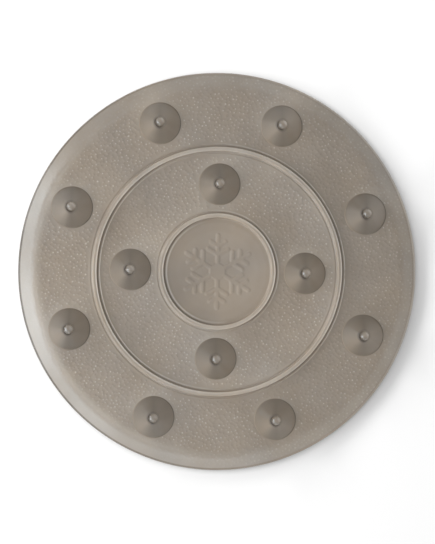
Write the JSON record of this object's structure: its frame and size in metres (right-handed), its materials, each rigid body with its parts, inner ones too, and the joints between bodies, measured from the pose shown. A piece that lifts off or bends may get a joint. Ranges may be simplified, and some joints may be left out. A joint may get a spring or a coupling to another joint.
{
  "type": "stomp pad",
  "caption": "Round self-adhesive traction pad with grip cones, ring ribs and a smooth centre medallion, on a split release liner.",
  "frame": {"origin": "centre of the release liner's underside, where the new pad rests", "axes": "+Z out of the gripping face along the pad's axis; the liner's slit runs along Y; two inner cones stand on X and two on Y"},
  "size_m": [0.127, 0.127, 0.0099],
  "materials": {
    "smoke_elastomer": "satin",
    "acrylic_adhesive": "gloss",
    "carrier_film": "gloss",
    "liner_paper": "satin"
  },
  "bodies": {
    "pad": {"pad_moulding": "smoke_elastomer", "pad_side_adhesive": "acrylic_adhesive", "tape_carrier_film": "carrier_film", "board_side_adhesive": "acrylic_adhesive"},
    "liner_right": {"release_liner_right": "liner_paper"},
    "liner_left": {"release_liner_left": "liner_paper"}
  },
  "joints": [
    {"name": "peel_right", "type": "hinge", "parent": "pad", "child": "liner_right", "pos_m": [0.0625, 0, 0.00015], "axis": [0, -1, 0], "range_deg": [0, 180]},
    {"name": "peel_left", "type": "hinge", "parent": "pad", "child": "liner_left", "pos_m": [-0.0625, 0, 0.00015], "axis": [0, 1, 0], "range_deg": [0, 180]}
  ]
}
